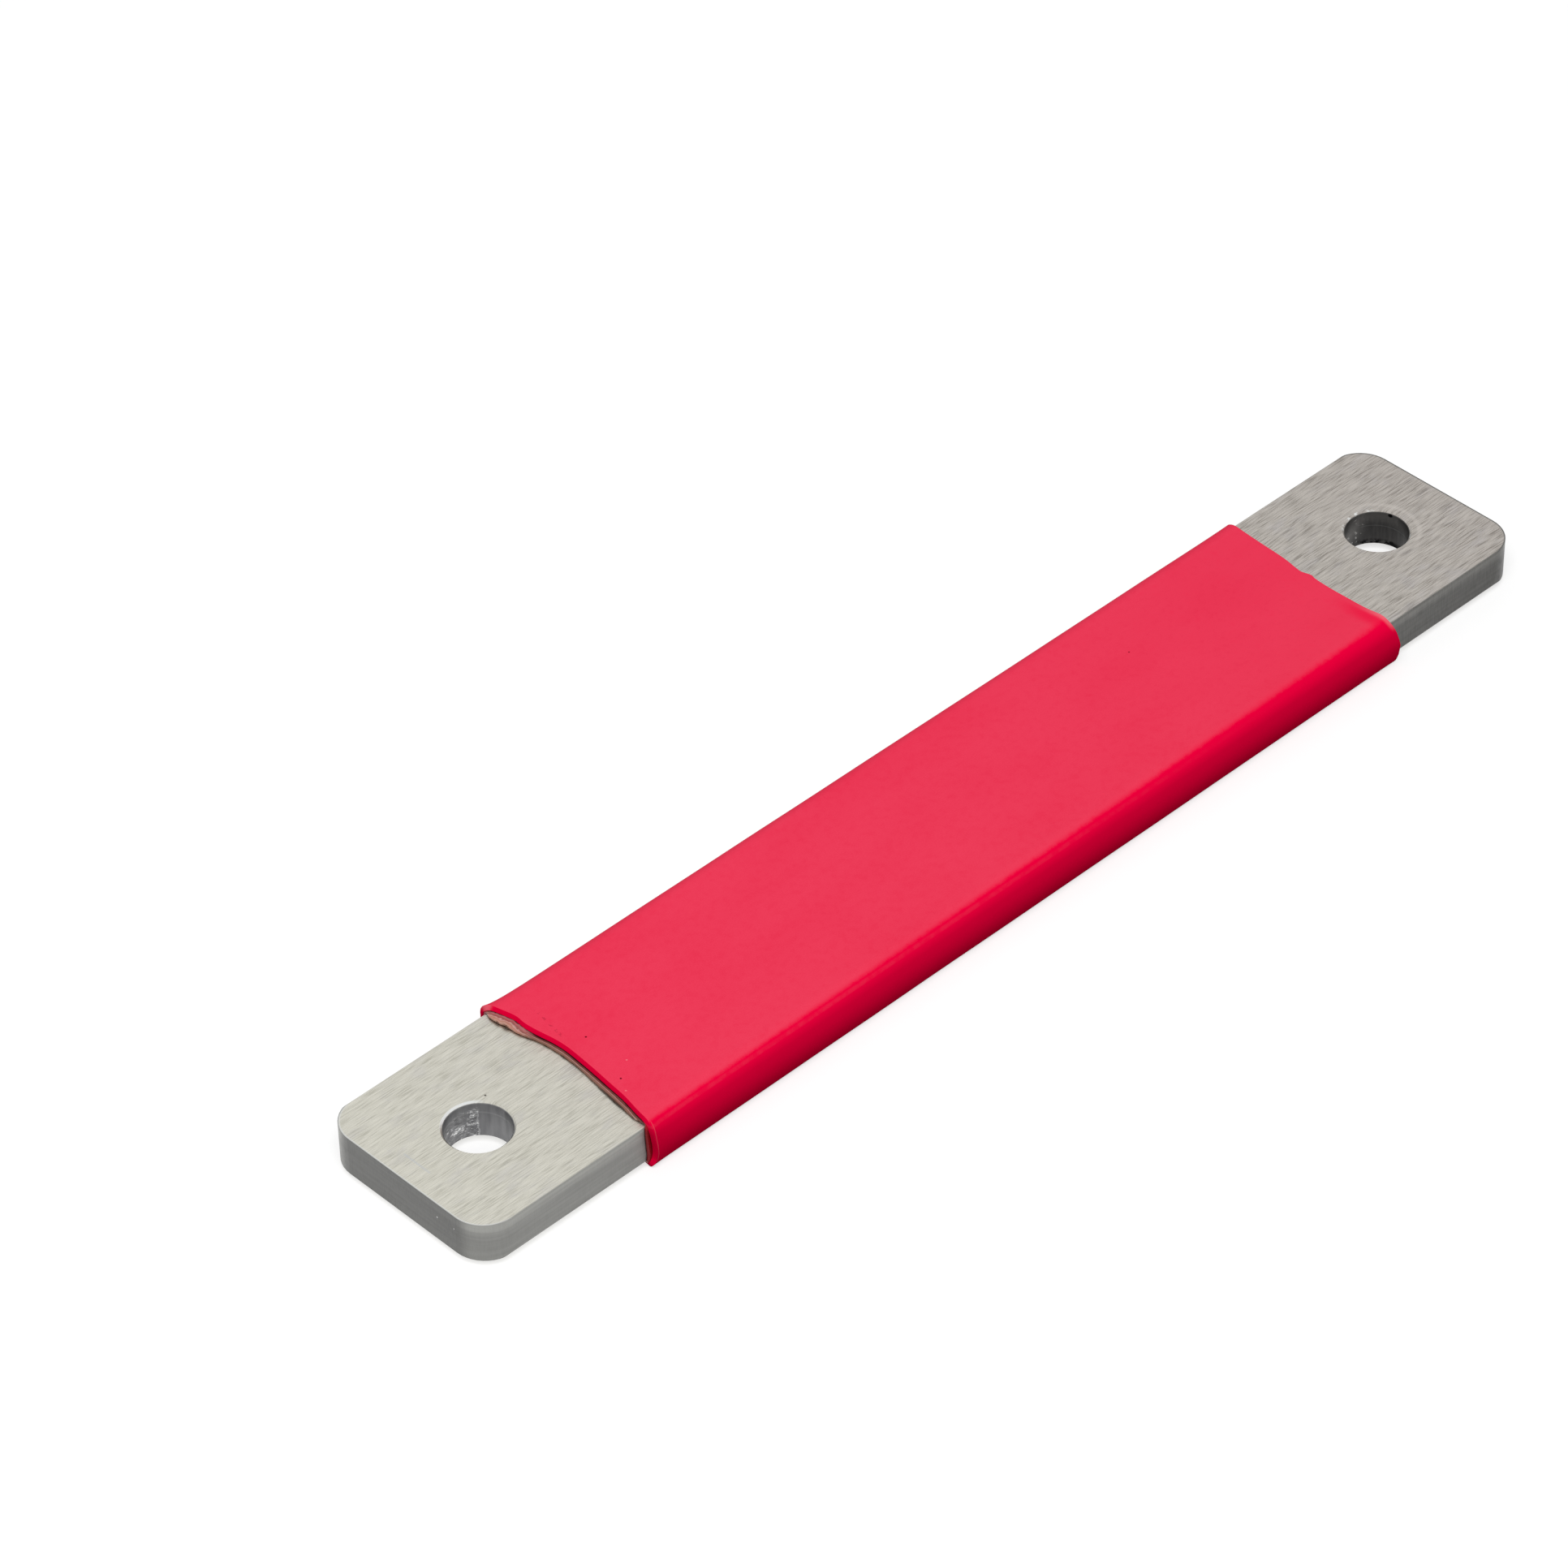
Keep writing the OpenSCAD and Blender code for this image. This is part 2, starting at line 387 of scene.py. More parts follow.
def far_hole_wall(recipe, across, z):
    """Painted darker as shade, streaked down, lighter above its ring, with painted light on its
    left side, flecks at the left and nicks in its edges.
    """
    streaks = grain(recipe, point(recipe, across * 2.4, 7.0, z * 0.3), 1.0, detail=3.0)
    # Painted shade: the wall is much darker than the near hole's.
    wall = recipe.blend(
        streaks.above(0.2, 0.8), from_screen(55, 54, 54), from_screen(66, 65, 64))
    wall = recipe.blend(z.above(4.3, 6.2) * 0.7, wall, from_screen(94, 92, 90))
    # Painted light: the left side of the wall is lighter.
    at_left = 1 - (across + streaks * 2.0).above(-2.8, 0.4)
    wall = recipe.blend(at_left * z.above(1.5, 5.0), wall, from_screen(112, 110, 108))
    ring = z.above(4.3, 4.42) - z.above(4.42, 4.55)
    wall = recipe.blend(ring * 0.35, wall, grey(104))
    flecks = grain(recipe, point(recipe, across * 1.8, 3.0, z * 2.6), 1.0, detail=3.0)
    flecks = flecks.above(0.60, 0.68) * at_left
    wall = recipe.blend(flecks * 0.8, wall, from_screen(190, 189, 186))

    nicks = grain(
        recipe, point(recipe, across * 1.1, 2.0, z * 1.3), 1.0, detail=3.0, roughness=0.7)
    nicks = (1 - z.above(1.6, 2.3)) * (nicks + across * 0.02).above(0.49, 0.53)
    nicks = nicks.math("MAXIMUM", spots(across, z, FAR_BURRS))
    return recipe.blend(nicks, wall, grey(8))


def drilled(recipe, colour, x, y, z, hole_x, hole_wall, burr):
    """Lays a hole's wall, and painted highlights on parts of its rim, over the colour of the bar.
    """
    distance = from_axis(x, y, hole_x)
    # Painted highlight: bright arcs on the rim, broken up and kept to parts of the ring.
    broken = grain(recipe, point(recipe, x * 0.9, y * 0.9, z), 1.0, detail=3.0)
    broken = broken.above(burr, burr + 0.15) * y.math("ABSOLUTE").above(2.6, 4.2)
    rim = distance.above(HOLE_RADIUS + 0.05, HOLE_RADIUS + 0.12)
    rim = rim * (1 - (distance - y * 0.015).above(HOLE_RADIUS + 0.22, HOLE_RADIUS + 0.38))
    colour = recipe.blend(rim * broken, colour, BRIGHT_EDGE)
    wall = hole_wall(recipe, (x - hole_x) * ACROSS_X + y * ACROSS_Y, z)
    return recipe.blend(distance.above(HOLE_RADIUS + 0.04, HOLE_RADIUS + 0.10), wall, colour)


print("holes at", round(NEAR_HOLE_X, 2), "and", round(FAR_HOLE_X, 2), "mm along the bar")

# %% [markdown]
# Where a point lies decides which of these finishes it gets: its distance inside the bar's
# outline tells the faces from the sides, and its distance from a hole's axis tells the walls
# from the rest. The near end's top edge was filed bright, and a washer rubbed a pale ring
# round one side of the far hole. The lines that darken a face also press it in, as a bump.

# %% Aluminium: the whole bar
RUBBED_RING = from_screen(196, 190, 184)


def rolled_aluminium():
    recipe = Recipe(bpy.data.materials.new("rolled_aluminium"))
    x, y, z = part_millimetres(recipe)
    towards_far = x * (0.5 / BAR_HALF_LENGTH) + 0.5
    lines = rolling_lines(recipe, x, y, z)
    face = rolled_face(recipe, x, y, z, lines, towards_far)
    side = sawn_side(recipe, x, y, z, towards_far)
    outline = inside_outline(x, y)
    colour = recipe.blend(outline.above(-0.30, -0.08), face, side)

    filed = outline.above(-0.34, -0.26) * (1 - outline.above(-0.14, -0.04))
    filed = filed * (1 - x.above(-BAR_HALF_LENGTH + 2, -BAR_HALF_LENGTH + 6))
    colour = recipe.blend(filed * z.above(6.7, 6.9) * 0.5, colour, BRIGHT_EDGE)

    ring = from_axis(x, y, FAR_HOLE_X)
    rubbed = ring.above(5.4, 5.8) * (1 - ring.above(6.0, 6.5)) * (x - FAR_HOLE_X).above(-1.0, 3.0)
    colour = recipe.blend(rubbed * 0.45, colour, RUBBED_RING)
    colour = drilled(recipe, colour, x, y, z, NEAR_HOLE_X, near_hole_wall, 0.25)
    colour = drilled(recipe, colour, x, y, z, FAR_HOLE_X, far_hole_wall, 0.45)

    bump = recipe.add("Bump", inputs={"Height": lines, "Strength": 0.15, "Distance": -0.01 * MM})
    shader = recipe.add("BsdfPrincipled", inputs={
        "Base Color": colour,
        "Metallic": 1.0,
        "Roughness": lines * 0.12 + 0.34,
        "Normal": bump,
    })
    return recipe.finish(shader)


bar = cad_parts["bar"]
bar.data.materials.clear()
bar.data.materials.append(rolled_aluminium())
print("bar has", len(bar.data.polygons), "triangles and its own aluminium")

# %% [markdown]
# The sleeve is a plastic tube that was slipped over the bar and shrunk with a heat gun. It
# hugs the bar's edges and pulls back most where the bar is widest, so its cut ends are
# curved, and its mouths flare where the hot plastic curled. A box whose ends are taken off
# and whose long edges are bevelled is already such a tube. Bisecting it in many planes gives
# the vertices that the curves need, and Solidify gives the wall its thickness inwards.

# %% A tube of rounded section
def choose_faces(piece, test):
    """Leaves exactly the faces that pass the test selected."""
    for item in (*piece.data.vertices, *piece.data.edges):
        item.select = False
    for face in piece.data.polygons:
        face.select = test(face)


def choose_edges(piece, test):
    """Leaves exactly the edges that pass the test selected."""
    for item in (*piece.data.vertices, *piece.data.polygons):
        item.select = False
    for edge in piece.data.edges:
        edge.select = test(edge)


def edit(piece, mode="FACE"):
    bpy.ops.object.select_all(action="DESELECT")
    bpy.context.view_layer.objects.active = piece
    piece.select_set(True)
    bpy.ops.object.mode_set(mode="EDIT")
    bpy.ops.mesh.select_mode(type=mode)
    bpy.ops.object.mode_set(mode="OBJECT")


def steps(low, high, count):
    return [low + (high - low) * step / count for step in range(count + 1)]


def rounded_tube(name, low_x, high_x, width, height, radius, cuts_x, cuts_y, cuts_z):
    """An open tube along X, all in millimetres, with a ring of vertices at each cut."""
    size = Vector((high_x - low_x, width, height)) * MM
    centre = Vector(((low_x + high_x) / 2, 0, middle_z)) * MM
    bpy.ops.object.select_all(action="DESELECT")
    bpy.ops.mesh.primitive_cube_add(size=1, location=centre, scale=size)
    tube = bpy.context.object
    tube.name = name
    bpy.ops.object.transform_apply(location=True, rotation=True, scale=True)
    edit(tube, "FACE")
    choose_faces(tube, lambda face: abs(face.normal.x) > 0.9)
    bpy.ops.object.mode_set(mode="EDIT")
    bpy.ops.mesh.delete(type="FACE")
    bpy.ops.object.mode_set(mode="OBJECT")
    edit(tube, "EDGE")
    corners = tube.data.vertices
    choose_edges(tube, lambda edge: abs(
        corners[edge.vertices[0]].co.x - corners[edge.vertices[1]].co.x) > size.x / 2)
    bpy.ops.object.mode_set(mode="EDIT")
    bpy.ops.mesh.bevel(offset=radius * MM, segments=8, affect="EDGES")
    for axis, cuts in enumerate((cuts_x, cuts_y, cuts_z)):
        normal = [float(axis == other) for other in range(3)]
        for cut in cuts:
            bpy.ops.mesh.select_all(action="SELECT")
            bpy.ops.mesh.bisect(plane_co=[cut * MM * share for share in normal], plane_no=normal)
    bpy.ops.object.mode_set(mode="OBJECT")
    return tube


def thicken(tube, wall, rim):
    """Gives the tube a wall inwards, rounds the rims of its mouths and smooths it."""
    solidify = tube.modifiers.new("wall", "SOLIDIFY")
    solidify.thickness = wall * MM
    solidify.offset = -1
    bevel = tube.modifiers.new("rim", "BEVEL")
    bevel.width = rim * MM
    bevel.segments = 3
    bevel.limit_method = "ANGLE"
    bevel.angle_limit = math.radians(50)
    for modifier in ("wall", "rim"):
        bpy.ops.object.modifier_apply(modifier=modifier)
    bpy.ops.object.shade_smooth_by_angle(angle=math.radians(40))
    print(tube.name, "has", len(tube.data.polygons), "faces")


print("tube tools are ready")

# %% [markdown]
# The sleeve's cuts aren't straight. Each is a list of points, how far across the bar and how
# far along it, joined by a smooth curve that passes through all of them. A second curve, by
# height, is added where the cut goes up the sides.

# %% The curves of the sleeve's cuts
SLEEVE_WALL = 0.7
LINING = 0.3
SLEEVE_HALF_WIDTH = BAR_HALF_WIDTH + LINING + SLEEVE_WALL
BAR_HALF_HEIGHT = (bar_high.z - bar_low.z) / 2
SLEEVE_HALF_HEIGHT = BAR_HALF_HEIGHT + LINING + SLEEVE_WALL
SIDE_START, SIDE_BAND = 14.5, 1.5
NEAR_CUT = [
    (-16.0, -69.6), (-13.9, -69.45), (-10.0, -68.7), (-6.7, -68.33), (-3.8, -68.0), (-0.4, -67.7),
    (2.1, -67.55), (4.3, -67.7), (7.0, -68.16), (9.1, -68.37), (11.0, -68.25), (13.0, -68.69),
    (14.7, -69.17), (16.0, -69.5)]
NEAR_SIDE_CUT = [(0.0, -0.2), (0.9, 0.15), (2.1, 0.4), (3.7, 0.25), (6.0, 0.0), (8.0, 0.0)]
FAR_CUT = [
    (-16.0, 69.9), (-13.9, 69.72), (-12.2, 69.57), (-8.5, 69.5), (-4.9, 69.42), (-1.9, 69.55),
    (-1.0, 69.8), (-0.2, 69.55), (0.7, 69.35), (4.2, 69.85), (9.0, 70.13), (12.4, 70.36),
    (14.6, 70.55), (16.0, 70.6)]
FAR_SIDE_CUT = [(0.0, -0.1), (0.5, 0.75), (1.5, 1.3), (3.8, 1.15), (6.5, 0.35), (8.0, 0.0)]


def follow(curve, value):
    """The height of a smooth curve through some points, at one value."""
    value = max(curve[0][0], min(curve[-1][0], value))
    last = len(curve) - 1
    index = next(i for i in range(last) if value <= curve[i + 1][0])
    before, start, end, after = (curve[max(0, min(last, index + step))] for step in (-1, 0, 1, 2))
    width = end[0] - start[0]
    share = (value - start[0]) / width
    rise_start = (end[1] - before[1]) / (end[0] - before[0]) * width
    rise_end = (after[1] - start[1]) / (after[0] - start[0]) * width
    bend = share ** 2 * (3 - 2 * share)
    return (start[1] + (end[1] - start[1]) * bend + rise_start * share * (1 - share) ** 2
            - rise_end * share ** 2 * (1 - share))


def cut_at(y, z, across, up):
    """Where a cut lies along X: one curve across the faces, and another up the sides."""
    on_side = min(1, max(0, abs(y) - SIDE_START) / SIDE_BAND)
    return follow(across, y) + follow(up, z) * on_side


def near_cut(y, z):
    return cut_at(y, z, NEAR_CUT, NEAR_SIDE_CUT)


def far_cut(y, z):
    return cut_at(y, z, FAR_CUT, FAR_SIDE_CUT)


print("on top, the sleeve's middle is", round(
    far_cut(0, 2 * middle_z) - near_cut(0, 2 * middle_z), 1), "mm long")

# %% [markdown]
# Seen from the end, the sleeve is flat above and below, and its sides bulge a little, since
# hot plastic pulls itself round. The side is a shallow arc, and a tighter arc joins it to
# each flat. The tube was modelled with plain rounded corners, so every point of the plain
# section is moved to its place on the bulging one.

# %% The section of the sleeve
SLEEVE_EDGE_RADIUS = 1.8
SIDE_MIDDLE_Y = 16.35
SIDE_MIDDLE_Z = 3.9
SIDE_RADIUS = 7.6
LOWER_JOIN_Z = 0.52
UPPER_JOIN_Z = 2 * middle_z - SLEEVE_EDGE_RADIUS
PLAIN_FLAT_Y = SLEEVE_HALF_WIDTH - SLEEVE_EDGE_RADIUS
PLAIN_FLAT_Z = SLEEVE_HALF_HEIGHT - SLEEVE_EDGE_RADIUS


def side_y(z):
    """How far out the bulging side lies at a height."""
    return SIDE_MIDDLE_Y - (z - SIDE_MIDDLE_Z) ** 2 / (2 * SIDE_RADIUS)


def true_section(y, z):
    """Moves a point of the plain section onto the sleeve's own, whose sides bulge."""
    past_y, past_z = abs(y) - PLAIN_FLAT_Y, abs(z - middle_z) - PLAIN_FLAT_Z
    if past_z <= 0:
        share = (z - middle_z + PLAIN_FLAT_Z) / (2 * PLAIN_FLAT_Z)
        new_z = LOWER_JOIN_Z + (UPPER_JOIN_Z - LOWER_JOIN_Z) * share
        return math.copysign(side_y(new_z), y), new_z
    upper = z > middle_z
    join_z, face_z = (UPPER_JOIN_Z, 2 * middle_z) if upper else (LOWER_JOIN_Z, 0.0)
    tilt = math.atan(abs(join_z - SIDE_MIDDLE_Z) / SIDE_RADIUS)
    radius = abs(face_z - join_z) / (1 - math.sin(tilt))
    centre_y = side_y(join_z) - radius * math.cos(tilt)
    if past_y <= 0:
        return y * centre_y / PLAIN_FLAT_Y, z
    angle = tilt + math.atan2(past_z, past_y) * (1 - 2 * tilt / math.pi)
    rise = radius * (math.sin(angle) - 1)
    new_y = math.copysign(centre_y + radius * math.cos(angle), y)
    return new_y, face_z + (rise if upper else -rise)


def outward(y, z):
    """The direction away from the bar, across its section, at a point of the sleeve."""
    up = z - middle_z
    off_y = y - max(-PLAIN_FLAT_Y, min(PLAIN_FLAT_Y, y))
    off = Vector((0, off_y, up - max(-PLAIN_FLAT_Z, min(PLAIN_FLAT_Z, up))))
    return off.normalized() if off.length > 1e-6 else Vector((0, 0, 0))


print("the side bulges by", round(side_y(SIDE_MIDDLE_Z) - SLEEVE_HALF_WIDTH, 2), "mm")

# %% [markdown]
# The tube gets more columns of vertices near its mouths, where it bends most. The cut moves
# each column along X, the flare lifts it off the bar, and both fade out within a few
# millimetres of the mouth. Last, a slow noise keeps the long faces from being mathematically
# flat, as shrunk plastic never is.

# %% Bending the tube into the sleeve
sleeve_near, sleeve_far = -69.0, 70.0
END_COLUMNS = [0.35, 0.8, 1.4, 2.2, 3.2, 4.6, 6.5, 9.0, 12.5, 17.0]
MIDDLE_COLUMNS = steps(-46, 46, 18)
CUT_FADE = 7.0
FLARE_FADE = 1.7
PLAIN_MOUTH, PLAIN_FADE = 0.7, 2.5
WAVINESS = 0.035
RIM_ROUNDING = 0.10


def hump(value, centre, width):
    return math.exp(-(((value - centre) / width) ** 2))


def near_flare(y):
    at_side = max(0, abs(y) / SLEEVE_HALF_WIDTH - 0.75) / 0.25
    return 0.12 + (0.24 if y > 0 else 0.0) * at_side ** 2


def far_flare(y, z):
    return 0.05 + 0.25 * hump(y, -14.5, 2.5) * (z > middle_z)


columns = sorted(
    [sleeve_near + column for column in END_COLUMNS]
    + [sleeve_far - column for column in END_COLUMNS]
    + MIDDLE_COLUMNS)
sleeve = rounded_tube(
    "heat_shrink_sleeve", sleeve_near, sleeve_far, 2 * SLEEVE_HALF_WIDTH, 2 * SLEEVE_HALF_HEIGHT,
    SLEEVE_EDGE_RADIUS, columns, steps(-13.8, 13.8, 46), steps(middle_z - 2.0, middle_z + 2.0, 5))
for vertex in sleeve.data.vertices:
    x, y, z = vertex.co / MM
    from_near, from_far = x - sleeve_near, sleeve_far - x
    plain = PLAIN_MOUTH * math.exp(-from_near / PLAIN_FADE)
    moved = Vector((x, *Vector(true_section(y, z)).lerp(Vector((y, z)), plain)))
    moved.x += (near_cut(y, z) - sleeve_near) * math.exp(-from_near / CUT_FADE)
    moved.x += (far_cut(y, z) - sleeve_far) * math.exp(-from_far / CUT_FADE)
    lift = near_flare(y) * math.exp(-from_near / FLARE_FADE)
    lift += far_flare(y, z) * math.exp(-from_far / FLARE_FADE)
    lift += WAVINESS * noise.noise(Vector((x * 0.07, y * 0.16, z * 0.16)))
    moved += outward(y, z) * lift
    moved.z = max(moved.z, 0.0)
    vertex.co = moved * MM
edit(sleeve)
thicken(sleeve, SLEEVE_WALL, RIM_ROUNDING)

# %% [markdown]
# The blade that cut the near mouth leaned, so the outside of the wall ends a little deeper
# than the inside. Each vertex near the cut is pushed along X by how far out in the wall it
# lies. Then the distances to both cuts are stored, for the material to colour the rims by.

# %% The slanted cut
CUT_SLANT = 0.18
for vertex in sleeve.data.vertices:
    x, y, z = vertex.co / MM
    past_y = abs(y) - BAR_HALF_WIDTH - LINING
    past_z = abs(z - middle_z) - BAR_HALF_HEIGHT - LINING
    share = max(0, min(1, max(past_y, past_z) / SLEEVE_WALL))
    vertex.co.x += CUT_SLANT * share * hump(x, near_cut(y, z), 1.0) * MM
remember(sleeve, "past_near_cut", lambda x, y, z: x - near_cut(y, z))
remember(sleeve, "past_far_cut", lambda x, y, z: far_cut(y, z) - x)
print("the near cut leans by", CUT_SLANT, "mm over the wall")

# %% [markdown]
# The plastic is polyolefin, coloured all through. It is neither glossy nor chalky, and its
# specular reflection is turned off, so its soft broad sheen over a very saturated red is
# painted: a paler red on what faces up, fading towards the far end, painted highlights along
# rims and edges, and painted shade in the dip behind the far lip. A used one also has a scuff
# near the mouth that was pushed over the bar, scattered specks, and a faint unevenness of tone.

# %% Red polyolefin
SLEEVE_RED = (0.92, 0.0, 0.049)
SLEEVE_SHEEN = (0.905, 0.052, 0.110)
SLEEVE_DARK = (0.80, 0.0, 0.040)
RIM_HIGHLIGHT = from_screen(250, 130, 142)
BACK_EDGE_LIGHT = from_screen(255, 120, 136)
SPECK_DARK = from_screen(120, 8, 24)
SPECK_PALE = from_screen(250, 150, 158)
DARK_SPECKS = [(-66.6, -7.1, 0.19), (-64.4, 1.7, 0.19)]
PALE_SPECKS = [(-63.7, -5.1, 0.18), (-67.7, -9.2, 0.18)]


def plastic_colour(recipe, x, y, z, mottle, fine):
    """Red, with a painted sheen where it faces up and painted highlights on its rims and edges."""
    normal = recipe.add("NewGeometry", output="Normal").split()
    near_edge, far_edge = recall(recipe, "past_near_cut"), recall(recipe, "past_far_cut")
    at_corner = 1 - y.above(-13.0, -5.0)
    # Painted shade: less of the paler sheen in the dip just behind the far lip, at the front
    # corner.
    far_lip_shade = far_edge.above(0.4, 1.0) * (1 - far_edge.above(1.3, 3.2)) * at_corner
    sheen_patches = mottle * 0.10 + fine * 0.08 - 0.09
    back_edge_sheen = y.above(13.0, 15.0) * 0.6
    # Painted sheen: paler red where the surface faces up, a little less towards the far end, and
    # over the back edge.
    painted_top_sheen = (normal[2] - x * 0.0006 + sheen_patches + back_edge_sheen).above(0.81, 0.98) * (1 - far_lip_shade * 0.65)
    # Painted highlight: a thin paler line along the top long edges, fading out towards the far end.
    ridge_glint = z.above(6.9, 7.1) * (1 - z.above(7.25, 7.5)) * (1 - x.above(-30, 60)) * 0.6
    ridge_glint = ridge_glint * (mottle.above(0.35, 0.65) * 0.35 + 0.15)
    colour = recipe.blend(painted_top_sheen.math("MAXIMUM", ridge_glint), SLEEVE_RED, SLEEVE_SHEEN)

    # Painted highlight: thin paler lines along the near rim on the sides, and along the far rim at
    # the front corner where it faces up.
    at_side = y.math("ABSOLUTE").above(14.9, 15.6)
    near_rim = near_edge.above(0.34, 0.42) * (1 - near_edge.above(0.46, 0.54)) * at_side
    far_rim = (1 - far_edge.above(0.15, 0.75)) * (1 - y.above(-14.5, -9.0))
    far_rim = far_rim * normal[2].above(0.3, 0.8)
    colour = recipe.blend(near_rim * 0.3 + far_rim * 0.55, colour, RIM_HIGHLIGHT)

    clouds = grain(recipe, point(recipe, x * 0.5, y, z), 0.12, detail=3.0)
    tone = clouds.above(0.35, 0.75) + mottle.above(0.4, 0.8) + fine.above(0.3, 0.7)
    colour = recipe.blend(tone * 0.12, colour, SLEEVE_DARK)
    # Painted light: the back top edge, where it turns away from the light, is painted paler.
    turned = (1 - normal[2].above(0.45, 0.97)) * y.above(14.0, 15.0) * normal[2].above(0.1, 0.4)
    return recipe.blend(turned * 0.5, colour, BACK_EDGE_LIGHT)


def red_polyolefin():
    recipe = Recipe(bpy.data.materials.new("red_polyolefin"))
    x, y, z = part_millimetres(recipe)
    place = point(recipe, x, y, z)
    mottle = grain(recipe, place, 0.9, detail=2.0)
    fine = grain(recipe, place, 5.0, detail=1.0)
    colour = plastic_colour(recipe, x, y, z, mottle, fine)

    dirt = {"Vector": place, "Scale": 0.1}
    cells = recipe.add("TexVoronoi", inputs=dirt)
    kind = recipe.add("TexVoronoi", inputs=dirt, output="Color").split()[0]
    speck = 1 - cells.above(0.007, 0.015)
    pale = (speck * kind.above(0.70, 0.72)).math("MAXIMUM", spots(x, y, PALE_SPECKS))
    dark = (speck * (1 - kind.above(0.28, 0.30))).math("MAXIMUM", spots(x, y, DARK_SPECKS))
    along = (x - y * 0.16 + 67.1).math("ABSOLUTE")
    broken = grain(recipe, place, 2.2, detail=3.0).above(0.52, 0.60)
    scuff = (1 - along.above(0.10, 0.30)) * broken * y.above(3.5, 4.5) * (1 - y.above(9.5, 10.5))
    colour = recipe.blend(pale * 0.45, colour, SPECK_PALE)
    colour = recipe.blend(dark.math("MAXIMUM", scuff * 0.3), colour, SPECK_DARK)
    peel = grain(recipe, point(recipe, x * 0.6, y, z), 1.6, detail=2.0)
    bump = recipe.add("Bump", inputs={"Height": peel, "Strength": 0.12, "Distance": 0.05 * MM})
    shader = recipe.add("BsdfPrincipled", inputs={
        "Base Color": colour,
        "Roughness": mottle * 0.08 + 0.36,
        "Specular IOR Level": 0.0,
        "Normal": bump,
    })
    return recipe.finish(shader)


sleeve.data.materials.clear()
sleeve.data.materials.append(red_polyolefin())
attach(sleeve, "root")
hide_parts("sleeve")
print("sleeve is red and replaces the plain solid")

# %% [markdown]
# Inside the sleeve is a layer of hot-melt adhesive. When the sleeve shrank, it squeezed some
# of the melt out of the near mouth, where it set as a thin brown film on the metal, ragged
# along its edge. It is a thinner tube of the same kind, and only its near rim is shaped.
# Its reach past the cut is again a curve through points, with a little noise on top, and
# past the sleeve's lip it lifts off the metal in small lumps.

# %% The adhesive's squeezed-out edge
LINING_HALF_WIDTH = BAR_HALF_WIDTH + LINING
LINING_HALF_HEIGHT = BAR_HALF_HEIGHT + LINING
LINING_EDGE_RADIUS = 0.7
LINING_FADE = 5.0
LINING_RIM_ROUNDING = 0.06
FILM_REACH = [
    (-15.3, 0.45), (-14.6, 0.15), (-12.7, 0.56), (-9.4, 0.86), (-6.8, 0.82), (-4.1, 0.72),
    (-0.6, 0.62), (2.4, 0.74), (6.3, 0.66), (8.8, 1.02), (11.5, 1.5), (13.6, 1.2), (14.7, 0.55),
    (15.3, 0.3)]
film_start, lining_far = sleeve_near - 1.0, sleeve_far - 0.4


def swell(share):
    """1 in the middle, falling smoothly to 0 at the edge, where share is 1."""
    return (1 + math.cos(math.pi * min(abs(share), 1))) / 2


def squeezed_out(y, z):
    """How far the film reaches past the sleeve's cut."""
    ragged = 0.06 * noise.noise(Vector((y * 1.1, z, 3.1)))
    ragged += 0.03 * noise.noise(Vector((y * 3.5, z, 7.7)))
    return follow(FILM_REACH, y) + ragged * swell(max(0, abs(y) - 12) / 3)


rim_columns = [sleeve_near + step for step in (-0.6, -0.3, 0.0, 0.3, 0.7, 1.2, 2.0, 3.5, 6.0, 12.0)]
lining = rounded_tube(
    "adhesive_film", film_start, lining_far, 2 * LINING_HALF_WIDTH, 2 * LINING_HALF_HEIGHT,
    LINING_EDGE_RADIUS, [*rim_columns, 0.0, 60.0],
    steps(-14.5, 14.5, 96), steps(middle_z - 2.4, middle_z + 2.4, 8))
for vertex in lining.data.vertices:
    x, y, z = vertex.co / MM
    reach = near_cut(y, z) - squeezed_out(y, z)
    moved = Vector((x, y, z))
    moved.x += (reach - film_start) * math.exp(-(x - film_start) / LINING_FADE)
    moved.x += (far_cut(y, z) - sleeve_far) * math.exp((x - sleeve_far) / LINING_FADE)
    past_lip = max(0, near_cut(y, z) - moved.x)
    lumps = max(0, 0.5 + noise.noise(Vector((moved.x * 1.2, y * 0.9, 1.0))))
    moved += outward(y, z) * past_lip * (0.10 + 0.22 * hump(y, 11.0, 3.0)) * lumps
    vertex.co = moved * MM
edit(lining)
thicken(lining, LINING, LINING_RIM_ROUNDING)
remember(lining, "past_lip", lambda x, y, z: near_cut(y, z) - x)

# %% [markdown]
# The melt is clear brown where it is thin and milky where it was pulled and torn. Dark and
# pale bands follow its edge, so two colour ramps read the distance past the lip that was
# stored in the mesh. The darkest bands, right at the lip, are painted shadow from the lip, and
# the thin pale band in the smooth film is a painted highlight. One ramp is for the smooth film,
# the other for the torn stretch near the back corner, where a noise wrinkles the bands. Up the
# sides the film takes the red's tint.

# %% Hot-melt adhesive
FILM_ON_SIDE = from_screen(150, 22, 32)
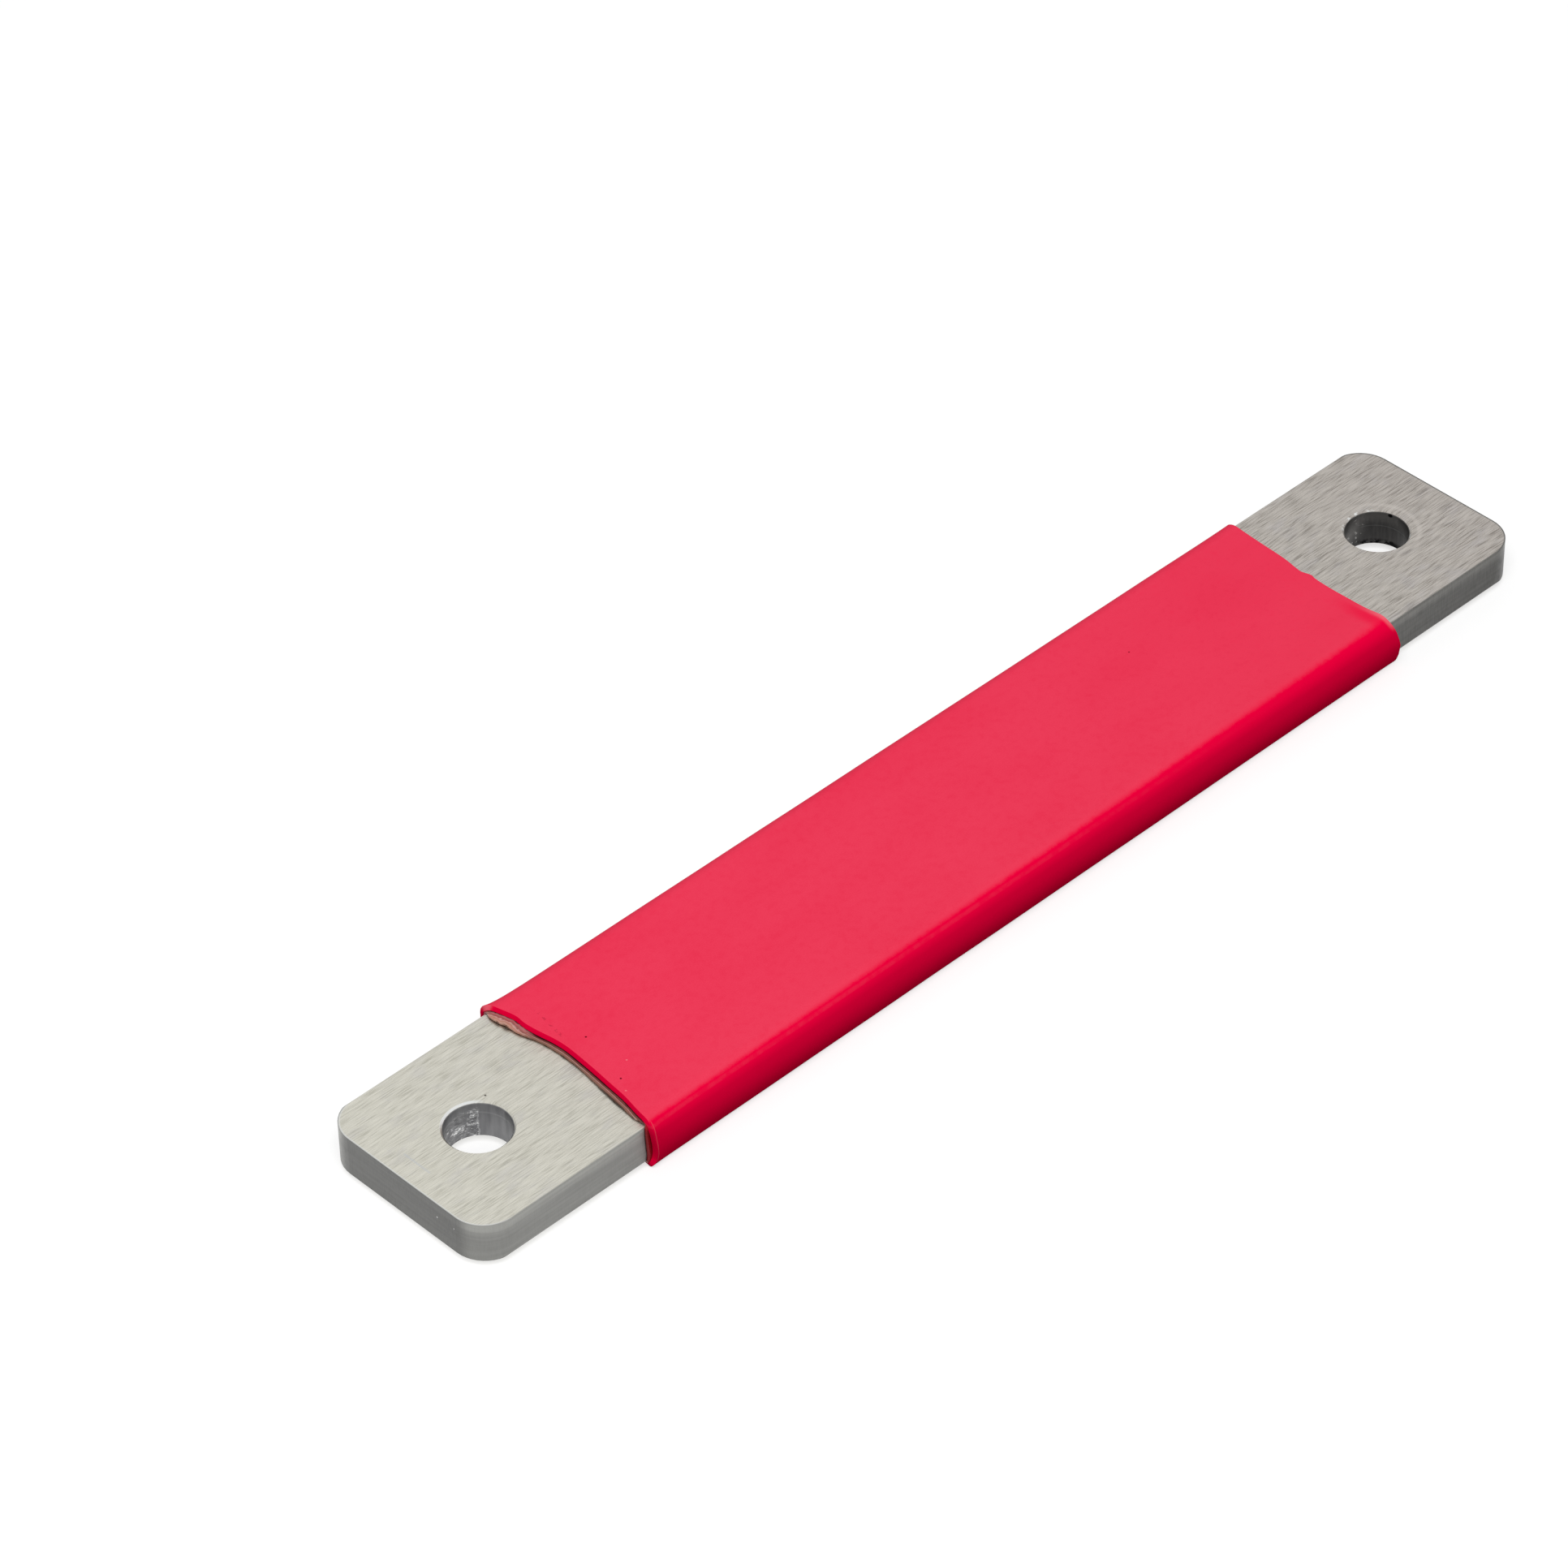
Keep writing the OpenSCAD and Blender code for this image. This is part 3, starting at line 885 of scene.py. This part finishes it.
# Painted shadow: the dark first stops at the lip, in both ramps. Painted highlight: the thin pale
# band at 0.47 in the smooth film.
FILM_BANDS = [
    (0.00, from_screen(50, 14, 22)), (0.12, from_screen(74, 32, 36)),
    (0.24, from_screen(118, 78, 68)), (0.38, from_screen(106, 68, 58)),
    (0.47, from_screen(186, 150, 142)), (0.55, from_screen(122, 84, 72)),
    (0.70, from_screen(146, 104, 88)), (0.84, from_screen(82, 54, 44))]
TORN_BANDS = [
    (0.00, from_screen(104, 44, 50)), (0.10, from_screen(184, 128, 126)),
    (0.26, from_screen(166, 108, 104)), (0.40, from_screen(140, 90, 80)),
    (0.52, from_screen(206, 164, 156)), (0.66, from_screen(180, 124, 106)),
    (0.90, from_screen(198, 152, 136)), (1.00, from_screen(132, 92, 76))]


def hot_melt():
    recipe = Recipe(bpy.data.materials.new("hot_melt_adhesive"))
    x, y, z = part_millimetres(recipe)
    clouds = grain(recipe, point(recipe, x * 1.6, y * 0.5, z), 1.0, detail=2.0)
    depth = recall(recipe, "past_lip") + clouds * 0.3 - 0.15
    wrinkles = grain(recipe, point(recipe, x * 2.2, y * 1.5, z), 1.0, detail=3.0)
    smooth = recipe.ramp(depth, FILM_BANDS)
    torn = recipe.ramp(depth * 0.66 + wrinkles * 0.5 - 0.25, TORN_BANDS)
    colour = recipe.blend(y.above(6.5, 9.0) - y.above(13.9, 14.8), smooth, torn)
    on_side = y.math("ABSOLUTE").above(14.6, 14.95)
    colour = recipe.blend(on_side, colour, FILM_ON_SIDE)
    shader = recipe.add("BsdfPrincipled", inputs={
        "Base Color": colour, "Roughness": clouds * 0.2 + 0.2, "Specular IOR Level": 0.2})
    return recipe.finish(shader)


lining.data.materials.clear()
lining.data.materials.append(hot_melt())
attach(lining, "root")
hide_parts("adhesive_lining")
print("film reaches", max(reach for across, reach in FILM_REACH), "mm past the cut at most")

# %% [markdown]
# A product photograph is lit softly and stands on white. The white is the floor's and the
# world's own colour, seen by the camera and in reflections, so it needs no stronger lamps.
# Other rays meet a grey floor and a dimmer world, which keeps the undersides dark.

# %% The floor
FLOOR_SIZE = 8.0


def studio_ray(recipe):
    """1 for the camera and for reflections, and 0 for the light that falls on the part."""
    camera_ray = recipe.add("LightPath", output="Is Camera Ray")
    glossy_ray = recipe.add("LightPath", output="Is Glossy Ray")
    clear_ray = recipe.add("LightPath", output="Is Transmission Ray")
    return camera_ray.math("MAXIMUM", glossy_ray).math("MAXIMUM", clear_ray)


def studio_floor():
    """White where it is seen, half of it lit, so that it takes the part's shadow."""
    recipe = Recipe(bpy.data.materials.new("studio_floor"))
    unseen = recipe.add("BsdfDiffuse", inputs={"Color": (0.10, 0.10, 0.10, 1)})
    white = recipe.add("Emission", inputs={"Color": (1, 1, 1, 1), "Strength": 1.2})
    lit = recipe.add("BsdfDiffuse", inputs={"Color": (0.98, 0.98, 0.98, 1)})
    seen = recipe.add("MixShader", inputs={0: 0.5, 1: lit, 2: white})
    mixed = recipe.add("MixShader", inputs={0: studio_ray(recipe), 1: unseen, 2: seen})
    return recipe.finish(mixed)


bpy.ops.object.select_all(action="DESELECT")
bpy.ops.mesh.primitive_plane_add(size=FLOOR_SIZE, location=(0, 0, 0))
floor = bpy.context.object
floor.name = "studio_floor"
floor.data.materials.append(studio_floor())
print("floor is", FLOOR_SIZE, "m square")

# %% [markdown]
# The world is the same white to the eye, and dimmer as a lamp. One large soft lamp above
# the near left gives the part its light and a faint shadow. It is kept out of reflections,
# because bare metal would show it as a white patch.

# %% The world and the lamp
WORLD_LIGHT = 0.45
KEY_POWER = 13.2
KEY_SIZE = 0.9
KEY_PLACE = (-0.5, -0.5, 1.3)

world = bpy.data.worlds.new("studio")
bpy.context.scene.world = world
sky = Recipe(world)
strength = studio_ray(sky) * (1 - WORLD_LIGHT) + WORLD_LIGHT
sky.finish(sky.add("Background", inputs={"Color": (1, 1, 1, 1), "Strength": strength}), "World")

key_data = bpy.data.lights.new("key_softbox", "AREA")
key_data.shape = "SQUARE"
key_data.size = KEY_SIZE
key_data.energy = KEY_POWER
key = bpy.data.objects.new("key_softbox", key_data)
bpy.context.scene.collection.objects.link(key)
key.location = KEY_PLACE
key.rotation_euler = (-Vector(KEY_PLACE)).to_track_quat("-Z", "Y").to_euler()
key.visible_glossy = False
print("lamp is", round(Vector(KEY_PLACE).length, 2), "m from the middle of the bar")
